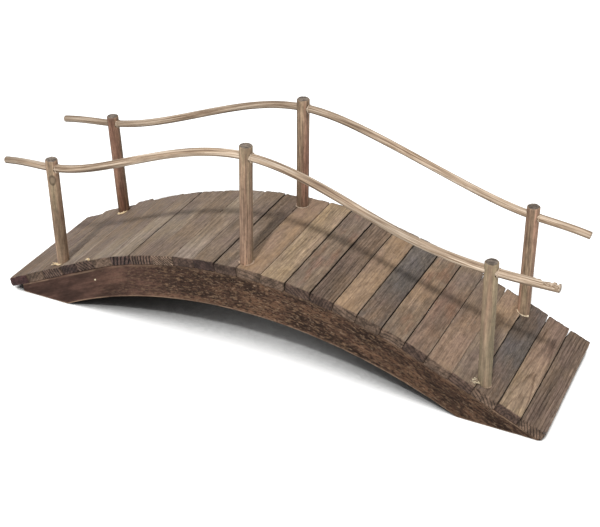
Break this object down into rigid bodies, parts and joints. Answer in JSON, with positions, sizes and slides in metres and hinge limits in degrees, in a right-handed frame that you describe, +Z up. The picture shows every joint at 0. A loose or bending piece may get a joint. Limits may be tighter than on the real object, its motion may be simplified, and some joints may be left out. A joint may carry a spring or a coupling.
{
  "type": "miniature moon bridge",
  "caption": "miniature arched wooden footbridge: two sawn arch stringers, plank deck, dowel posts and bent cane handrails threaded through the posts",
  "frame": {"origin": "middle of the whole bridge at floor level", "axes": "+X along the deck, +Y across it towards the far side, +Z up"},
  "size_m": [0.4154, 0.105, 0.1588],
  "materials": {
    "stringer_wood": "weathered",
    "board_wood": "weathered",
    "post_wood": "weathered",
    "cane": "raw"
  },
  "bodies": {
    "root": {"near_stringer": "stringer_wood", "far_stringer": "stringer_wood", "deck_board_01": "board_wood", "deck_board_02": "board_wood", "deck_board_03": "board_wood", "deck_board_04": "board_wood", "deck_board_05": "board_wood", "deck_board_06": "board_wood", "deck_board_07": "board_wood", "deck_board_08": "board_wood", "deck_board_09": "board_wood", "deck_board_10": "board_wood", "deck_board_11": "board_wood", "deck_board_12": "board_wood", "deck_board_13": "board_wood", "deck_board_14": "board_wood", "deck_board_15": "board_wood", "deck_board_16": "board_wood", "deck_board_17": "board_wood", "deck_board_18": "board_wood", "deck_board_19": "board_wood", "deck_board_20": "board_wood", "deck_board_21": "board_wood", "deck_board_22": "board_wood", "deck_board_23": "board_wood", "deck_board_24": "board_wood", "deck_board_25": "board_wood", "near_left_post": "post_wood", "near_middle_post": "post_wood", "near_right_post": "post_wood", "far_left_post": "post_wood", "far_middle_post": "post_wood", "far_right_post": "post_wood", "near_rail": "cane", "far_rail": "cane"}
  },
  "joints": []
}
